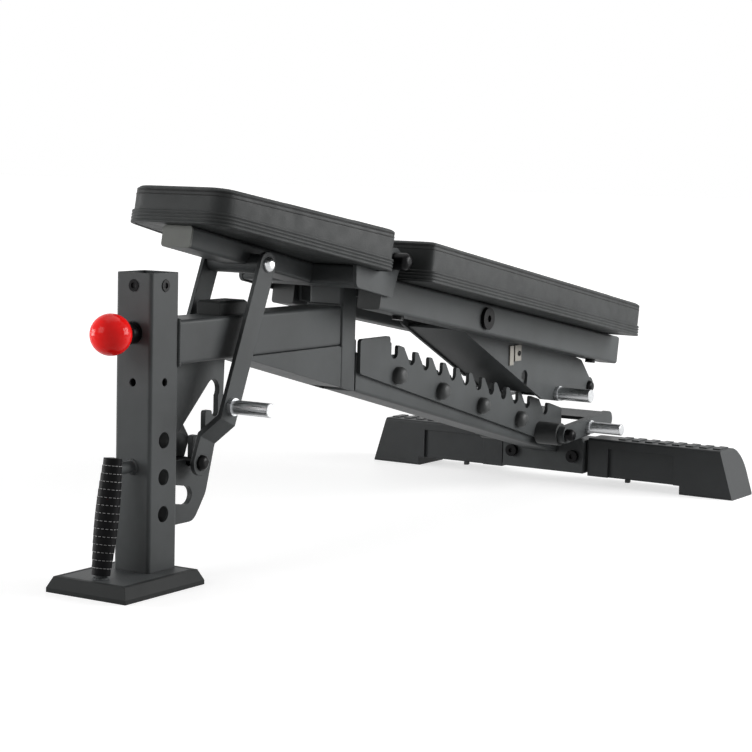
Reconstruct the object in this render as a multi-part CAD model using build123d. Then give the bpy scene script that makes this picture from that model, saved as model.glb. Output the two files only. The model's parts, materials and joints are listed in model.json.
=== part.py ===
from build123d import *
import math
import os

# Adjustable weight bench, millimetres, +Z up, +X from the foot end to the head end.
# Places along X are first counted from the centre of the front post, and the whole
# bench is then moved so that its origin is the middle of its footprint on the floor.

# Square tube of the fixed frame
tube = 60.0
tube_wall = 3.0
tube_corner = 5.0
half_tube = tube / 2

# Clearances
fit = 0.05
soft_gap = 0.3
side_gap = 0.5

# Edges and corners
plate_corner = 6.0
edge_break = 2.0
over_cut = 1.0
ear_shoulder = 1.0
dome_share = 0.7
key_share = 0.7
key_depth = 4.0

# Front post and its foot
post_top = 422.0
foot_height = 21.0
foot_front = 124.0
foot_rear = 45.0
foot_half_width = 67.0
foot_edge = 6.0
foot_inset = 7.0
base_plate = 8.0
base_margin = 7.0
side_hole_r = 11.0
side_hole_low = 98.0
side_hole_pitch = 50.0
side_hole_count = 3
pin_hole_z = 276.0
pin_hole_r = 5.5
set_screw_drop = 17.0
set_screw_r = 8.0
set_screw_key_r = 4.0
set_screw_proud = 1.0

# Pull plunger on the front face of the post
plunger_z = 342.5
plunger_r = 5.0
plunger_reach = 10.0
housing_r = 15.0
housing_length = 18.0
knob_r = 28.0
knob_grip = 10.0

# Carrying handle
handle_foot_reach = 63.0
handle_top_reach = 40.0
handle_top_z = 176.0
handle_arm_z = 163.0
handle_r = 8.0
grip_end_r = 12.0
grip_middle_r = 16.0
grip_low_gap = 5.0
grip_end = 4.0
grip_ring_pitch = 10.0
grip_groove = 1.2
grip_groove_depth = 0.8

# Beams and tower
beam_bottom = 297.0
tower_x = 430.0
tower_depth = 42.0
tower_over_hinge = 20.0
slope_deg = 13.8
slope_start_x = 204.0
slope_start_z = 289.3
slope_end_x = 1160.0
stop_x = 135.0
stop_length = 64.0
stop_width = 40.0
stop_height = 20.0
stop_chamfer = 3.0
gusset_nose = 18.0

# Hinge axle shared by the seat and the backrest
hinge_x = 457.0
hinge_z = 427.0
axle_r = 10.0
sleeve_r = 17.0
spacer_r = 14.0
axle_cap_r = 13.0
axle_cap_length = 26.0
ear = 6.0
ear_boss_r = 20.0

# Seat
seat_slope = 11.3
seat_rear_gap = 46.1
seat_rear_rise = -13.5
seat_length = 367.0
seat_front_half = 80.0
seat_rear_half = 130.0
seat_nose_r = 30.0
pad_corner_r = 8.0
seat_front_thick = 52.0
seat_rear_thick = 62.0
pad_edge_r = 6.0
board = 12.0
board_inset = 14.0
seat_tube_width = 50.0
seat_tube_height = 30.0
seat_tube_setback = 16.0
cross_from_rear = 55.0
cross_depth = 40.0
end_cap = 3.0
seat_ear_inner = 99.0
seat_ear_depth = 33.0
seat_ear_corner = 10.0

# Seat strut: two straps from the seat down to a cross pin in the ladder plate
strut_x = 204.0
strut_z = 427.5
strut_pin_x = 90.0
strut_pin_z = 157.0
strap = 6.0
strap_half = 18.0
strap_outer = 52.0
strap_low_outer = 26.0
strap_joggle_at = 230.0
strap_joggle = 28.0
strap_joggle_lean = 2.4
strut_sleeve_r = 14.0
bolt_r = 6.0
bolt_head_r = 11.0
bolt_head = 8.0
peg_at = 210.0
peg_r = 10.0
peg_ring_r = 12.5
peg_ring = 6.0
peg_length = 66.0

# Ladder plate behind the post
ladder = 8.0
ladder_low = 72.0
ladder_top_reach = 140.0
ladder_taper = 3.0
ladder_shoulder = 60.0
ladder_shoulder_r = 30.0
ladder_bend_x = 39.0
ladder_bend_z = 36.0
ladder_bend_r = 40.0
ladder_heel = 12.0
ladder_heel_r = 22.0
ladder_slot_rise = 47.0
notch_pitch_x = 29.0
notch_pitch_z = 32.0
notch_count = 3
notch_play = 1.0
window_rise = 66.0
window_slope = 0.93
window_r = 15.0
window_setback = 5.0
finger_lead = 3.0
finger_reach = 36.0
finger_tip_r = 4.0
ladder_slot_r = 13.0
ladder_slot_fall = 9.0

# Racks on the sloping beam
rack = 6.0
rack_slope = 14.8
rack_front_x = 475.0
rack_front_low = 251.0
rack_front_top = 304.0
rack_front_block = 87.0
rack_under_slope = 15.1
rack_tail = 60.0
rack_tip_r = 4.0
rack_first_x = 575.0
rack_first_z = 267.0
rack_first_gap = 53.0
rack_pitch = 44.2
rack_count = 10
rack_last_gap = 69.0
rack_tooth = 24.0
rack_notch_r = 9.5
rack_notch_lean = 17.0
rack_bolt_first = 110.0
rack_bolt_pitch = 137.0
rack_bolt_count = 4
rack_bolt_r = 6.0
rack_cap_r = 14.0
rack_cap_length = 15.0

# Backrest
back_slope = 9.66
rail_x = 430.0
rail_z = 354.7
rail_length = 832.0
rail_width = 40.0
rail_height = 50.0
rail_outer = 98.0
back_ear_reach = 100.0
back_ear_rise = 25.0
back_ear_neck = 37.5
back_start = 47.0
back_length = 755.0
back_half = 150.0
back_front_thick = 62.0
back_rear_thick = 59.0
back_cross_at = (150.0, 700.0)
back_cross_height = 18.0
pad_bolt_at = (85.0, 765.0)
pad_bolt_r = 4.0
pad_bolt_head_r = 9.0
pad_bolt_head = 6.0
pad_bolt_bite = 8.0

# Prop under the backrest
prop = 5.0
prop_outer = 57.0
prop_x = 756.0
prop_boss_r = 22.0
prop_bolt_r = 8.0
prop_bolt_head_r = 18.0
prop_bolt_head = 6.0
prop_nut_r = 12.0
prop_rod_x = 1098.0
prop_rod_z = 170.0
prop_rod_r = 8.0
prop_peg_r = 11.5
prop_collar_r = 13.0
prop_peg_length = 68.0
prop_end_x = 1226.0
prop_end_z = 172.0
prop_end_r = 17.0
prop_low = (1041.0, 164.0)
prop_low_rear = (1108.0, 155.0)
prop_low_r = 20.0
prop_front_x = 13.0
prop_front_z = 18.0
prop_back_x = 34.0
prop_back_z = 51.0
prop_back_r = 12.0
prop_top_x = 9.0
prop_top_z = 20.0
prop_notch_back = 69.0
prop_notch_up = 46.0
prop_notch_lean = 4.0
prop_notch_depth = 30.0
prop_notch_r = 11.0
prop_web_span = (0.05, 0.93)
prop_web_lift = 3.0

# Rear cross tube, end plate and moulded shoes
cross_front = 1175.0
cross_bottom = 20.0
end_plate_half = 82.0
end_plate_bolt_y = 62.0
end_plate_bolt_z = 50.0
shoe_inner = 88.0
shoe_half = 368.0
shoe_front = 1168.0
shoe_rear = 1262.0
shoe_top = 85.0
shoe_round = 44.0
shoe_slant = 26.0
shoe_foot = 100.0
shoe_end_wall = 7.0
shoe_belly = 16.0
shoe_edge_r = 4.0
recess_outer = 12.0
recess_inner = 40.0
recess_depth = 5.0
recess_drop = 16.0
tread_inset = 60.0
tread_pitch = 26.0
tread_width = 14.0
tread_height = 2.0

# Rear pedal
pedal_x = 1076.0
pedal_z = 100.0
pedal_bush_r = 20.0
pedal_bush_end = 78.0
pedal_arm = 12.0
pedal_arm_r = 15.0
pedal_reach = 168.0
pedal_plate = 6.0
pedal_plate_length = 66.0
pedal_bolt_r = 8.0
pedal_peg_at = 86.0
pedal_rise = 12.0
pedal_deck_lift = 7.5

# Worked-out places
beam_top = beam_bottom + tube
slope = math.tan(math.radians(slope_deg))
slope_depth = tube / math.cos(math.radians(slope_deg))
tower_rear = tower_x + tower_depth
hinge_top = hinge_z + tower_over_hinge
rail_inner = rail_outer - rail_width
rack_end_x = slope_end_x
prop_inner = prop_outer - prop
strap_inner = strap_outer - strap
strap_low_inner = strap_low_outer - strap
rack_outer = half_tube + rack
seat_ear_outer = seat_ear_inner + ear
pedal_arm_inner = pedal_bush_end + side_gap
pedal_arm_outer = pedal_arm_inner + pedal_arm
middle_x = (shoe_rear - foot_front) / 2
seat_x = hinge_x - seat_rear_gap - seat_length * math.cos(math.radians(seat_slope))
seat_z = hinge_z + seat_rear_rise + seat_length * math.sin(math.radians(seat_slope))
seat_tube_length = seat_length - seat_tube_setback - cross_from_rear
prop_z = rail_z - math.tan(math.radians(back_slope)) * (prop_x - rail_x)
prop_z += rail_height / 2 / math.cos(math.radians(back_slope))
cross_half = shoe_half - shoe_slant - shoe_end_wall
shoe_foot_inner = shoe_half - shoe_foot
tread_room = cross_half - shoe_inner - tread_inset
seat_place = Pos(seat_x, 0, seat_z) * Rot(0, seat_slope, 0)
back_place = Pos(rail_x, 0, rail_z) * Rot(0, back_slope, 0)


def slope_bottom(x):
    """Height of the underside of the sloping beam at a place along X."""
    return slope_start_z - slope * (x - slope_start_x)


def seat_under(x):
    """Height of the underside of the seat pad at a place along X."""
    return seat_z - math.tan(math.radians(seat_slope)) * (x - seat_x)


def block(x, y, z):
    """Box between three (low, high) pairs."""
    size = [pair[1] - pair[0] for pair in (x, y, z)]
    centre = [(pair[0] + pair[1]) / 2 for pair in (x, y, z)]
    return Pos(*centre) * Box(*size)


def rod(x, z, radius, y_low, y_high):
    """Round bar along Y."""
    return Pos(x, (y_low + y_high) / 2, z) * Rot(90, 0, 0) * Cylinder(radius, y_high - y_low)


def bar_x(y, z, radius, x_low, x_high):
    """Round bar along X."""
    return Pos((x_low + x_high) / 2, y, z) * Rot(0, 90, 0) * Cylinder(radius, x_high - x_low)


def outline(points):
    """Closed polygon from (x, y) or (x, y, corner radius) points."""
    shape = Polygon(*[(point[0], point[1]) for point in points], align=None)
    for point in points:
        if len(point) == 3:
            corner = shape.vertices().sort_by_distance((point[0], point[1], 0))[0]
            shape = fillet(corner, point[2])
    return shape


def upright(y):
    """Plane across the bench at a place along Y, drawn in X and Z."""
    return Plane(origin=(0, y, 0), x_dir=(1, 0, 0), z_dir=(0, -1, 0))


def plate(points, y_low, y_high):
    """Flat plate with an outline in X and Z."""
    return extrude(upright(y_high) * outline(points), amount=y_high - y_low, dir=(0, -1, 0))


def link(start, end, radius, y_low, y_high):
    """Round-ended bar in X and Z between two points."""
    run_x = end[0] - start[0]
    run_z = end[1] - start[1]
    centre = ((start[0] + end[0]) / 2, y_high, (start[1] + end[1]) / 2)
    plane = Plane(origin=centre, x_dir=(run_x, 0, run_z), z_dir=(0, -1, 0))
    slot = SlotCenterToCenter(math.hypot(run_x, run_z), 2 * radius)
    return extrude(plane * slot, amount=y_high - y_low, dir=(0, -1, 0))


def both_sides(shape):
    """A piece on the left and its mirror image on the right."""
    return [shape, mirror(shape, about=Plane.XZ)]


def square_tube(x, y, z, along):
    """Hollow tube with rounded edges along X, Y or Z (0, 1 or 2), open at its ends."""
    outer = block(x, y, z)
    outer = fillet(outer.edges().filter_by((Axis.X, Axis.Y, Axis.Z)[along]), tube_corner)
    inner = [(low + tube_wall, high - tube_wall) for low, high in (x, y, z)]
    inner[along] = (x, y, z)[along]
    return outer - block(*inner)


def dome(x, z, radius, y_low, y_high):
    """Round cap along -Y with a rounded outer end."""
    cap = rod(x, z, radius, y_low, y_high)
    rim = cap.edges().filter_by(GeomType.CIRCLE).sort_by(Axis.Y)[0]
    return fillet(rim, radius * dome_share)


def peg(x, z, radius, ring_r, y_inner, length):
    """Hand peg that stands out along -Y from a collar."""
    collar = rod(x, z, ring_r, -y_inner - peg_ring, -y_inner)
    handle = rod(x, z, radius, -y_inner - length, -y_inner - peg_ring)
    tip = handle.edges().filter_by(GeomType.CIRCLE).sort_by(Axis.Y)[0]
    return collar + chamfer(tip, edge_break)


def front_post():
    post = square_tube(
        (-half_tube, half_tube), (-half_tube, half_tube), (foot_height, post_top), 2
    )
    for index in range(side_hole_count):
        post -= rod(0, side_hole_low + index * side_hole_pitch, side_hole_r, -tube, tube)
    post -= rod(0, pin_hole_z, pin_hole_r, -tube, 0)
    post -= bar_x(0, pin_hole_z, pin_hole_r, -tube, 0)
    post -= bar_x(0, plunger_z, plunger_r + fit, -tube, 0)
    screw_z = post_top - set_screw_drop
    post -= rod(0, screw_z, set_screw_r + fit, -tube, 0)
    post -= bar_x(0, screw_z, set_screw_r + fit, -tube, 0)
    return post


def set_screws():
    screw_z = post_top - set_screw_drop
    start = -half_tube - set_screw_proud
    end = -half_tube + tube_wall
    side = rod(0, screw_z, set_screw_r, start, end)
    side -= rod(0, screw_z, set_screw_key_r, start, (start + end) / 2)
    front = bar_x(0, screw_z, set_screw_r, start, end)
    front -= bar_x(0, screw_z, set_screw_key_r, start, (start + end) / 2)
    return [side, front]


def foot_rectangle(inset, z):
    x_low = -foot_front + inset
    x_high = foot_rear - inset
    half = foot_half_width - inset
    centre = (x_low + x_high) / 2
    return Pos(centre, 0, z) * Rectangle(x_high - x_low, 2 * half)


def base_plate_box(grow):
    inset = foot_inset + base_margin - grow
    half = foot_half_width - inset
    return block(
        (-foot_front + inset, foot_rear - inset),
        (-half, half),
        (foot_height - base_plate, foot_height),
    )


def post_foot():
    edge = extrude(foot_rectangle(0, 0), amount=foot_edge)
    crown = loft([foot_rectangle(0, foot_edge), foot_rectangle(foot_inset, foot_height)])
    return edge + crown - base_plate_box(fit)


def plunger_housing():
    face = -half_tube
    body = bar_x(0, plunger_z, housing_r, face - housing_length, face)
    ends = body.edges().filter_by(GeomType.CIRCLE).sort_by(Axis.X)
    body = chamfer(ends[0], edge_break)
    return body - bar_x(0, plunger_z, plunger_r + fit, face - housing_length, face)


def plunger():
    knob_x = -half_tube - housing_length - side_gap - knob_r
    root = knob_x + knob_r - knob_grip
    pin = bar_x(0, plunger_z, plunger_r, root, -half_tube + plunger_reach)
    knob = Pos(knob_x, 0, plunger_z) * Sphere(knob_r)
    knob -= bar_x(0, plunger_z, plunger_r + fit, root, knob_x + knob_r)
    return pin, knob


handle_foot = (-half_tube - handle_foot_reach, foot_height)
handle_top = (-half_tube - handle_top_reach, handle_top_z)
handle_run = (handle_top[0] - handle_foot[0], handle_top[1] - handle_foot[1])
handle_length = math.hypot(*handle_run)
handle_plane = Plane(
    origin=(handle_foot[0], 0, handle_foot[1]), z_dir=(handle_run[0], 0, handle_run[1])
)


def handle_arm(radius):
    """Short arm from the post's front face to the middle of the leaning rod."""
    share = (handle_arm_z - handle_foot[1]) / handle_run[1]
    return bar_x(0, handle_arm_z, radius, handle_foot[0] + handle_run[0] * share, -half_tube)


def carry_handle():
    below = handle_r
    stem = Pos(0, 0, (handle_length - below) / 2) * Cylinder(handle_r, handle_length + below)
    floor_box = block((-foot_front, 0), (-tube, tube), (0, foot_height))
    return handle_plane * stem + handle_arm(handle_r) - floor_box


def carry_grip():
    """Barrel-shaped grip with ring grooves, closed at its top."""
    start = grip_low_gap
    end = handle_length + grip_end
    rings = int((end - start) // grip_ring_pitch)
    pitch = (end - start) / rings
    profile = [(0, start)]
    for index in range(rings):
        low = start + index * pitch
        high = low + pitch - grip_groove
        bulge = math.sin(math.pi * (index + 0.5) / rings)
        radius = grip_end_r + (grip_middle_r - grip_end_r) * bulge
        profile += [(radius, low), (radius, high)]
        if index < rings - 1:
            groove_r = radius - grip_groove_depth
            profile += [(groove_r, high), (groove_r, low + pitch)]
    profile.append((0, end))
    grip = revolve(Plane.XZ * outline(profile), axis=Axis.Z)
    grip -= Pos(0, 0, handle_length / 2) * Cylinder(handle_r + fit, handle_length)
    return handle_plane * grip - handle_arm(handle_r + fit)


def top_beam():
    return square_tube(
        (half_tube, tower_x), (-half_tube, half_tube), (beam_bottom, beam_top), 0
    )


def seat_stop():
    pad = block(
        (stop_x, stop_x + stop_length),
        (-stop_width / 2, stop_width / 2),
        (beam_top, beam_top + stop_height),
    )
    return chamfer(pad.faces().sort_by(Axis.Z)[-1].edges(), stop_chamfer)


def tower():
    shell = square_tube(
        (tower_x, tower_rear),
        (-half_tube, half_tube),
        (slope_bottom(tower_rear), hinge_top),
        2,
    )
    shell += block(
        (tower_x + tube_wall, tower_rear - tube_wall),
        (-half_tube + tube_wall, half_tube - tube_wall),
        (hinge_top - tube_wall, hinge_top),
    )
    below = [
        (tower_x, slope_bottom(tower_x)),
        (tower_rear, slope_bottom(tower_rear)),
        (tower_x, slope_bottom(tower_rear)),
    ]
    shell -= plate(below, -tube, tube)
    return shell - rod(hinge_x, hinge_z, sleeve_r + fit, -tube, tube)


def front_gusset():
    tip = slope_start_x - (beam_bottom - slope_start_z) / slope
    inner_tip = tip + gusset_nose
    shell = plate(
        [(tip, beam_bottom), (tower_x, slope_bottom(tower_x)), (tower_x, beam_bottom)],
        -half_tube,
        half_tube,
    )
    hollow = plate(
        [
            (inner_tip, beam_bottom - tube_wall),
            (tower_x, slope_bottom(tower_x) + tube_wall),
            (tower_x, beam_bottom - tube_wall),
        ],
        -half_tube + tube_wall,
        half_tube - tube_wall,
    )
    return shell - hollow


def slope_band(x_low, x_high, low, high):
    """Outline that follows the sloping beam, between two heights over its underside."""
    return [
        (x_low, slope_bottom(x_low) + low),
        (x_high, slope_bottom(x_high) + low),
        (x_high, slope_bottom(x_high) + high),
        (x_low, slope_bottom(x_low) + high),
    ]


def slope_beam():
    band = slope_band(tower_rear, slope_end_x, 0, slope_depth)
    beam = plate(band, -half_tube, half_tube)
    long_edges = [edge for edge in beam.edges() if edge.length > tube * 2]
    beam = fillet(long_edges, tube_corner)
    inner = slope_band(tower_rear, slope_end_x, tube_wall, slope_depth - tube_wall)
    beam -= plate(inner, -half_tube + tube_wall, half_tube - tube_wall)
    for bolt in rack_bolt_places():
        beam -= rod(bolt[0], bolt[1], rack_bolt_r + fit, -tube, tube)
    return beam


def window_line(x):
    """Height of the upper edge of the ladder plate's window at a place along X."""
    return strut_pin_z + window_rise + window_slope * (x - strut_pin_x)


def seat_ladder():
    face = half_tube
    pin = (strut_pin_x, strut_pin_z)
    low_hole = ladder_low + ladder_slot_rise
    points = [
        (face, beam_bottom),
        (face + ladder_top_reach, beam_bottom),
        (face + ladder_top_reach - ladder_taper, beam_bottom - ladder_shoulder, ladder_shoulder_r),
        (pin[0] + ladder_bend_x, ladder_low + ladder_bend_z, ladder_bend_r),
        (pin[0] + ladder_heel, ladder_low, ladder_heel_r),
        (face, ladder_low),
    ]
    body = plate(points, -ladder / 2, ladder / 2)
    reach = bolt_r + notch_play
    lows = [
        (pin[0] + index * notch_pitch_x, pin[1] + index * notch_pitch_z)
        for index in range(notch_count)
    ]
    last_x, last_z = lows[-1]
    front_x = pin[0] - notch_pitch_x
    lean = math.hypot(1, window_slope)
    arch_x = last_x - window_setback
    arch_z = window_line(arch_x) - window_r * lean
    touch = (arch_x - window_r * window_slope / lean, arch_z + window_r / lean)
    window = [(front_x, window_line(front_x), plate_corner), touch, (last_x, arch_z)]
    for x, z in reversed(lows):
        window += [(x, z + finger_lead), (x - notch_pitch_x, z + finger_lead)]
    body -= plate(window, -ladder, ladder)
    body -= rod(arch_x, arch_z, window_r, -ladder, ladder)
    for x, z in lows:
        body -= link((x, z), (x, z + finger_reach), reach, -ladder, ladder)
    tips = [
        edge
        for edge in body.edges().filter_by(Axis.Y)
        for x, z in lows
        if abs(edge.center().Z - z - finger_lead) < fit and front_x + fit < edge.center().X < x
    ]
    body = fillet(tips, finger_tip_r)
    slot_end = (pin[0] - bolt_r, low_hole - ladder_slot_fall)
    return body - link((face, low_hole), slot_end, ladder_slot_r, -ladder, ladder)


def rack_notches():
    """Bottoms of the notches, in X and Z."""
    steps = [0.0, rack_first_gap]
    steps += [rack_first_gap + rack_pitch * (index + 1) for index in range(rack_count - 1)]
    steps.append(steps[-1] + rack_last_gap)
    fall = math.tan(math.radians(rack_slope))
    return [(rack_first_x + step, rack_first_z - fall * step) for step in steps]


def rack_bolt_places():
    """Centres of the through bolts, in line between the racks' two edges."""
    fall = math.tan(math.radians(rack_slope))
    start_x = rack_front_x + rack_bolt_first
    start_z = rack_first_z - rack_tooth - fall * (start_x - rack_first_x)
    run = [index * rack_bolt_pitch for index in range(rack_bolt_count)]
    return [(start_x + step, start_z - fall * step) for step in run]


def rack_tip_line(x):
    """Height of the line through the tips of the teeth at a place along X."""
    return rack_first_z + rack_tooth - math.tan(math.radians(rack_slope)) * (x - rack_first_x)


def rack_plate():
    block_end = rack_front_x + rack_front_block
    low_fall = math.tan(math.radians(rack_under_slope))
    low_x = rack_end_x - rack_tail
    low_z = rack_front_low - low_fall * (low_x - rack_front_x)
    points = [
        (rack_front_x, rack_front_low, plate_corner),
        (rack_front_x, rack_front_top, plate_corner),
        (block_end, rack_front_top, plate_corner),
        (block_end, rack_tip_line(block_end)),
        (rack_end_x, rack_tip_line(rack_end_x), plate_corner),
        (rack_end_x, low_z, plate_corner),
        (low_x, low_z),
    ]
    body = plate(points, -rack_outer, -half_tube)
    for index, (x, z) in enumerate(rack_notches()):
        seat = z + rack_notch_r
        lean = rack_notch_lean if index else 0
        opening = [
            (x - rack_notch_r, seat),
            (x + rack_notch_r, seat),
            (x + rack_notch_r, seat + rack_tooth),
            (x - rack_notch_r - lean, seat + rack_tooth),
        ]
        body -= plate(opening, -tube, 0)
        body -= rod(x, seat, rack_notch_r, -tube, 0)
    tips = [
        edge
        for edge in body.edges().filter_by(Axis.Y)
        if abs(edge.center().Z - rack_tip_line(edge.center().X)) < fit
        and block_end + fit < edge.center().X < rack_end_x - plate_corner
    ]
    body = fillet(tips, rack_tip_r)
    for x, z in rack_bolt_places():
        body -= rod(x, z, rack_bolt_r + fit, -tube, 0)
    return body


def rack_bolts():
    bolts = []
    for x, z in rack_bolt_places():
        cap = dome(x, z, rack_cap_r, -rack_outer - rack_cap_length, -rack_outer)
        shank = rod(x, z, rack_bolt_r, -rack_outer, rack_outer)
        bolts.append(shank + cap + mirror(cap, about=Plane.XZ))
    return bolts


def end_plate():
    body = block(
        (slope_end_x, shoe_front), (-end_plate_half, end_plate_half), (cross_bottom, shoe_top)
    )
    upper = body.edges().filter_by(Axis.X).sort_by(Axis.Z)[-2:]
    body = fillet(upper, tube_corner * 2)
    for y in (-end_plate_bolt_y, end_plate_bolt_y):
        body -= bar_x(y, end_plate_bolt_z, bolt_r + fit, slope_end_x, shoe_front)
    return body


def end_plate_packer():
    """Filler between the end plate and the cross tube."""
    body = block(
        (shoe_front, cross_front),
        (-end_plate_half, end_plate_half),
        (cross_bottom, cross_bottom + tube),
    )
    for y in (-end_plate_bolt_y, end_plate_bolt_y):
        body -= bar_x(y, end_plate_bolt_z, bolt_r + fit, shoe_front, cross_front)
    return body


def end_plate_bolts():
    bolts = []
    for y in (-end_plate_bolt_y, end_plate_bolt_y):
        head = bar_x(y, end_plate_bolt_z, bolt_head_r, slope_end_x - bolt_head, slope_end_x)
        key_end = slope_end_x - bolt_head + key_depth
        key = bar_x(y, end_plate_bolt_z, bolt_r * key_share, slope_end_x - bolt_head, key_end)
        shank = bar_x(y, end_plate_bolt_z, bolt_r, slope_end_x, cross_front + tube_wall)
        bolts.append(head - key + shank)
    return bolts


def rear_cross_tube():
    body = square_tube(
        (cross_front, cross_front + tube),
        (-cross_half, cross_half),
        (cross_bottom, cross_bottom + tube),
        1,
    )
    for y in (-end_plate_bolt_y, end_plate_bolt_y):
        body -= bar_x(y, end_plate_bolt_z, bolt_r + fit, cross_front, cross_front + tube / 2)
    return body


def rear_shoe():
    """Moulded shoe over the left end of the cross tube."""
    profile = [
        (shoe_front, 0, shoe_edge_r),
        (shoe_front, shoe_top, shoe_edge_r),
        (shoe_rear, shoe_top, shoe_round),
        (shoe_rear, 0, shoe_edge_r),
    ]
    body = plate(profile, -shoe_half, -shoe_inner)
    slant = math.degrees(math.atan(shoe_slant / shoe_top))
    cutter = Pos(0, -shoe_half, 0) * Rot(-slant, 0, 0) * block(
        (shoe_front - over_cut, shoe_rear + over_cut), (-shoe_half, 0), (-shoe_top, 2 * shoe_top)
    )
    body -= cutter
    body -= block((shoe_front, shoe_rear), (-shoe_foot_inner, 0), (0, shoe_belly))
    body -= block(
        (cross_front - fit, cross_front + tube + fit),
        (-cross_half, 0),
        (cross_bottom - fit, cross_bottom + tube + fit),
    )
    recess = (-shoe_foot_inner + recess_outer, -shoe_inner - recess_inner)
    body -= block(
        (shoe_front, shoe_front + recess_depth), recess, (shoe_belly, shoe_top - recess_drop)
    )
    for index in range(int(tread_room // tread_pitch) + 1):
        centre = -shoe_inner - tread_inset - index * tread_pitch
        body += block(
            (shoe_front + tread_width, shoe_rear - shoe_round),
            (centre - tread_width / 2, centre + tread_width / 2),
            (shoe_top, shoe_top + tread_height),
        )
    return body


def hinge_axle():
    reach = seat_ear_outer + side_gap + axle_cap_length / 2
    return rod(hinge_x, hinge_z, axle_r, -reach, reach)


def hinge_sleeve():
    reach = rail_inner - ear - side_gap
    body = rod(hinge_x, hinge_z, sleeve_r, -reach, reach)
    return body - rod(hinge_x, hinge_z, axle_r + fit, -reach, reach)


def axle_spacer():
    low = -seat_ear_inner + side_gap
    high = -rail_inner - side_gap
    body = rod(hinge_x, hinge_z, spacer_r, low, high)
    return body - rod(hinge_x, hinge_z, axle_r + fit, low, high)


def axle_cap():
    inner = -seat_ear_outer - side_gap
    body = dome(hinge_x, hinge_z, axle_cap_r, inner - axle_cap_length, inner)
    return body - rod(hinge_x, hinge_z, axle_r + fit, inner - axle_cap_length / 2, inner)


def seat_pad_outline(inset):
    front = seat_front_half - inset
    rear = seat_rear_half - inset
    return outline(
        [
            (inset, -front, seat_nose_r),
            (seat_length - inset, -rear, pad_corner_r),
            (seat_length - inset, rear, pad_corner_r),
            (inset, front, seat_nose_r),
        ]
    )


def back_pad_outline(inset):
    low = back_start + inset
    high = back_start + back_length - inset
    half = back_half - inset
    radius = pad_corner_r
    return outline(
        [(low, -half, radius), (high, -half, radius), (high, half, radius), (low, half, radius)]
    )


def cushion(shape, base, start, length, front, rear):
    """Foam and cover around a board, from a plan outline, with its thickness at both ends."""
    end = start + length
    grow = (rear - front) / length * over_cut
    wedge = [
        (start - over_cut, base),
        (end + over_cut, base),
        (end + over_cut, base + rear + grow),
        (start - over_cut, base + front - grow),
    ]
    body = extrude(Pos(0, 0, base) * shape(0), amount=max(front, rear) + over_cut)
    body = body & plate(wedge, -back_half - over_cut, back_half + over_cut)
    body = fillet(body.faces().sort_by(Axis.Z)[-1].edges(), pad_edge_r)
    pocket = extrude(Pos(0, 0, base) * shape(board_inset - soft_gap), amount=board + soft_gap)
    return body - pocket


def seat_cross():
    start = seat_tube_setback + seat_tube_length
    return square_tube(
        (start, start + cross_depth),
        (-seat_ear_inner, seat_ear_inner),
        (-seat_tube_height, 0),
        1,
    )


def seat_tube():
    half = seat_tube_width / 2
    body = square_tube(
        (seat_tube_setback, seat_tube_setback + seat_tube_length),
        (-half, half),
        (-seat_tube_height, 0),
        0,
    )
    return seat_place * body - rod(strut_x, strut_z, strut_sleeve_r + fit, -tube, tube)


def seat_tube_cap():
    half = seat_tube_width / 2
    body = block(
        (seat_tube_setback - end_cap, seat_tube_setback), (-half, half), (-seat_tube_height, 0)
    )
    return fillet(body.edges().filter_by(Axis.X), tube_corner)


def seat_ear():
    start = seat_place * Pos(seat_tube_setback + seat_tube_length, 0, 0)
    front = start.position.X - ear
    pad_end = (seat_place * Pos(seat_length, 0, 0)).position.X
    fall = math.tan(math.radians(seat_slope))
    low_front = seat_under(front) - seat_ear_depth
    low_rear = low_front - fall * (hinge_x - ear - front)
    points = [
        (front, seat_under(front)),
        (pad_end + side_gap, seat_under(pad_end + side_gap)),
        (hinge_x - ear_boss_r, hinge_z + ear),
        (hinge_x + ear_boss_r - ear_shoulder, hinge_z),
        (hinge_x - ear, low_rear, plate_corner),
        (front, low_front, seat_ear_corner),
    ]
    body = plate(points, -seat_ear_outer, -seat_ear_inner)
    body += rod(hinge_x, hinge_z, ear_boss_r, -seat_ear_outer, -seat_ear_inner)
    return body - rod(hinge_x, hinge_z, axle_r + fit, -tube * 2, 0)


def strut_sleeve():
    reach = strap_inner - side_gap
    body = rod(strut_x, strut_z, strut_sleeve_r, -reach, reach)
    return body - rod(strut_x, strut_z, bolt_r + fit, -reach, reach)


strut_run = (strut_pin_x - strut_x, strut_pin_z - strut_z)
strut_length = math.hypot(*strut_run)


def strut_point(along):
    """Point on the strut's centre line, counted from its upper pivot."""
    share = along / strut_length
    return (strut_x + strut_run[0] * share, strut_z + strut_run[1] * share)


def strut_strap():
    """Left strap: a flat bar that steps inwards above the cross pin."""
    plane = Plane(
        origin=(strut_x, 0, strut_z),
        x_dir=(strut_run[0], 0, strut_run[1]),
        z_dir=(-strut_run[1], 0, strut_run[0]),
    )
    low = strap_joggle_at + strap_joggle
    end = strut_length + strap_half
    lean = strap_joggle_lean
    side = [
        (-strap_half, -strap_outer),
        (strap_joggle_at + lean, -strap_outer),
        (low + lean, -strap_low_outer),
        (end, -strap_low_outer),
        (end, -strap_low_inner),
        (low - lean, -strap_low_inner),
        (strap_joggle_at - lean, -strap_inner),
        (-strap_half, -strap_inner),
    ]
    body = extrude(plane * outline(side), amount=strap_half, both=True)
    ends = (strut_x, strut_z), (strut_pin_x, strut_pin_z)
    body = body & link(ends[0], ends[1], strap_half, -strap_outer, 0)
    body -= rod(strut_x, strut_z, bolt_r + fit, -tube, 0)
    return body - rod(strut_pin_x, strut_pin_z, bolt_r + fit, -tube, 0)


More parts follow.
